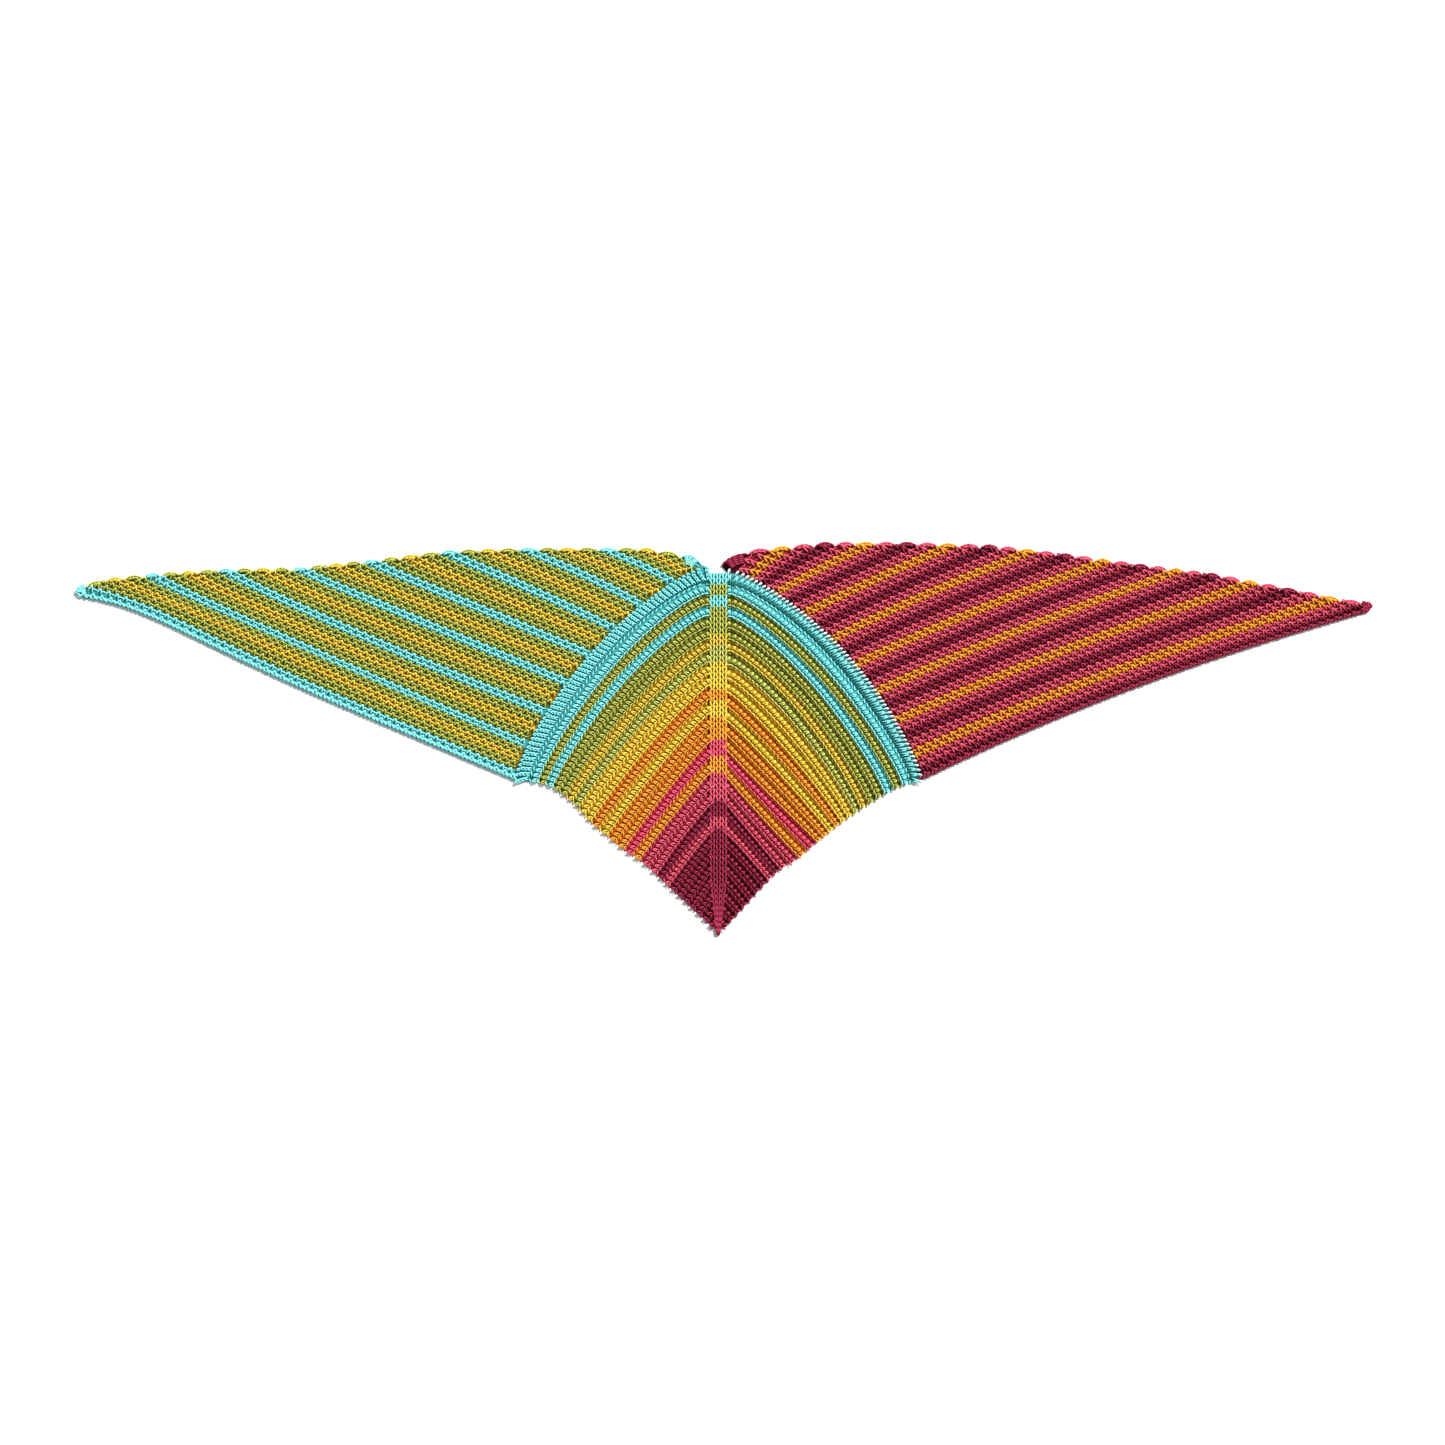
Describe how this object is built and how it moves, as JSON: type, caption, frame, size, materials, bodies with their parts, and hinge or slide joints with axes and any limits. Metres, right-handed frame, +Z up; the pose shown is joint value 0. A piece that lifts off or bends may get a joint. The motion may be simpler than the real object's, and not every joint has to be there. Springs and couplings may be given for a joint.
{
  "type": "shawl",
  "caption": "Long shallow triangular yarn shawl laid out flat, with a ridged kite-shaped centre, two striped wings, and a scalloped neck edge.",
  "frame": {"origin": "middle of the footprint of the shawl as it lies flat, on the surface that it lies on", "axes": "+X to the right along the neck edge in the top view, +Y towards the neck edge, +Z up out of the cloth's face"},
  "size_m": [1.8268, 0.554, 0.005],
  "materials": {
    "left_wing_yarns": "soft matte yarn in turquoise, olive and mustard stripes",
    "right_wing_yarns": "soft matte yarn in burgundy, pink and orange stripes",
    "join_yarn": "soft matte turquoise yarn",
    "centre_yarns": "soft matte yarn in ridges from turquoise through olive, yellow, orange and pink to burgundy"
  },
  "bodies": {
    "root": {"wing_left": "left_wing_yarns", "wing_right": "right_wing_yarns", "join_left": "join_yarn", "join_right": "join_yarn", "centre_left": "centre_yarns", "centre_right": "centre_yarns", "spine": "centre_yarns"}
  },
  "joints": []
}
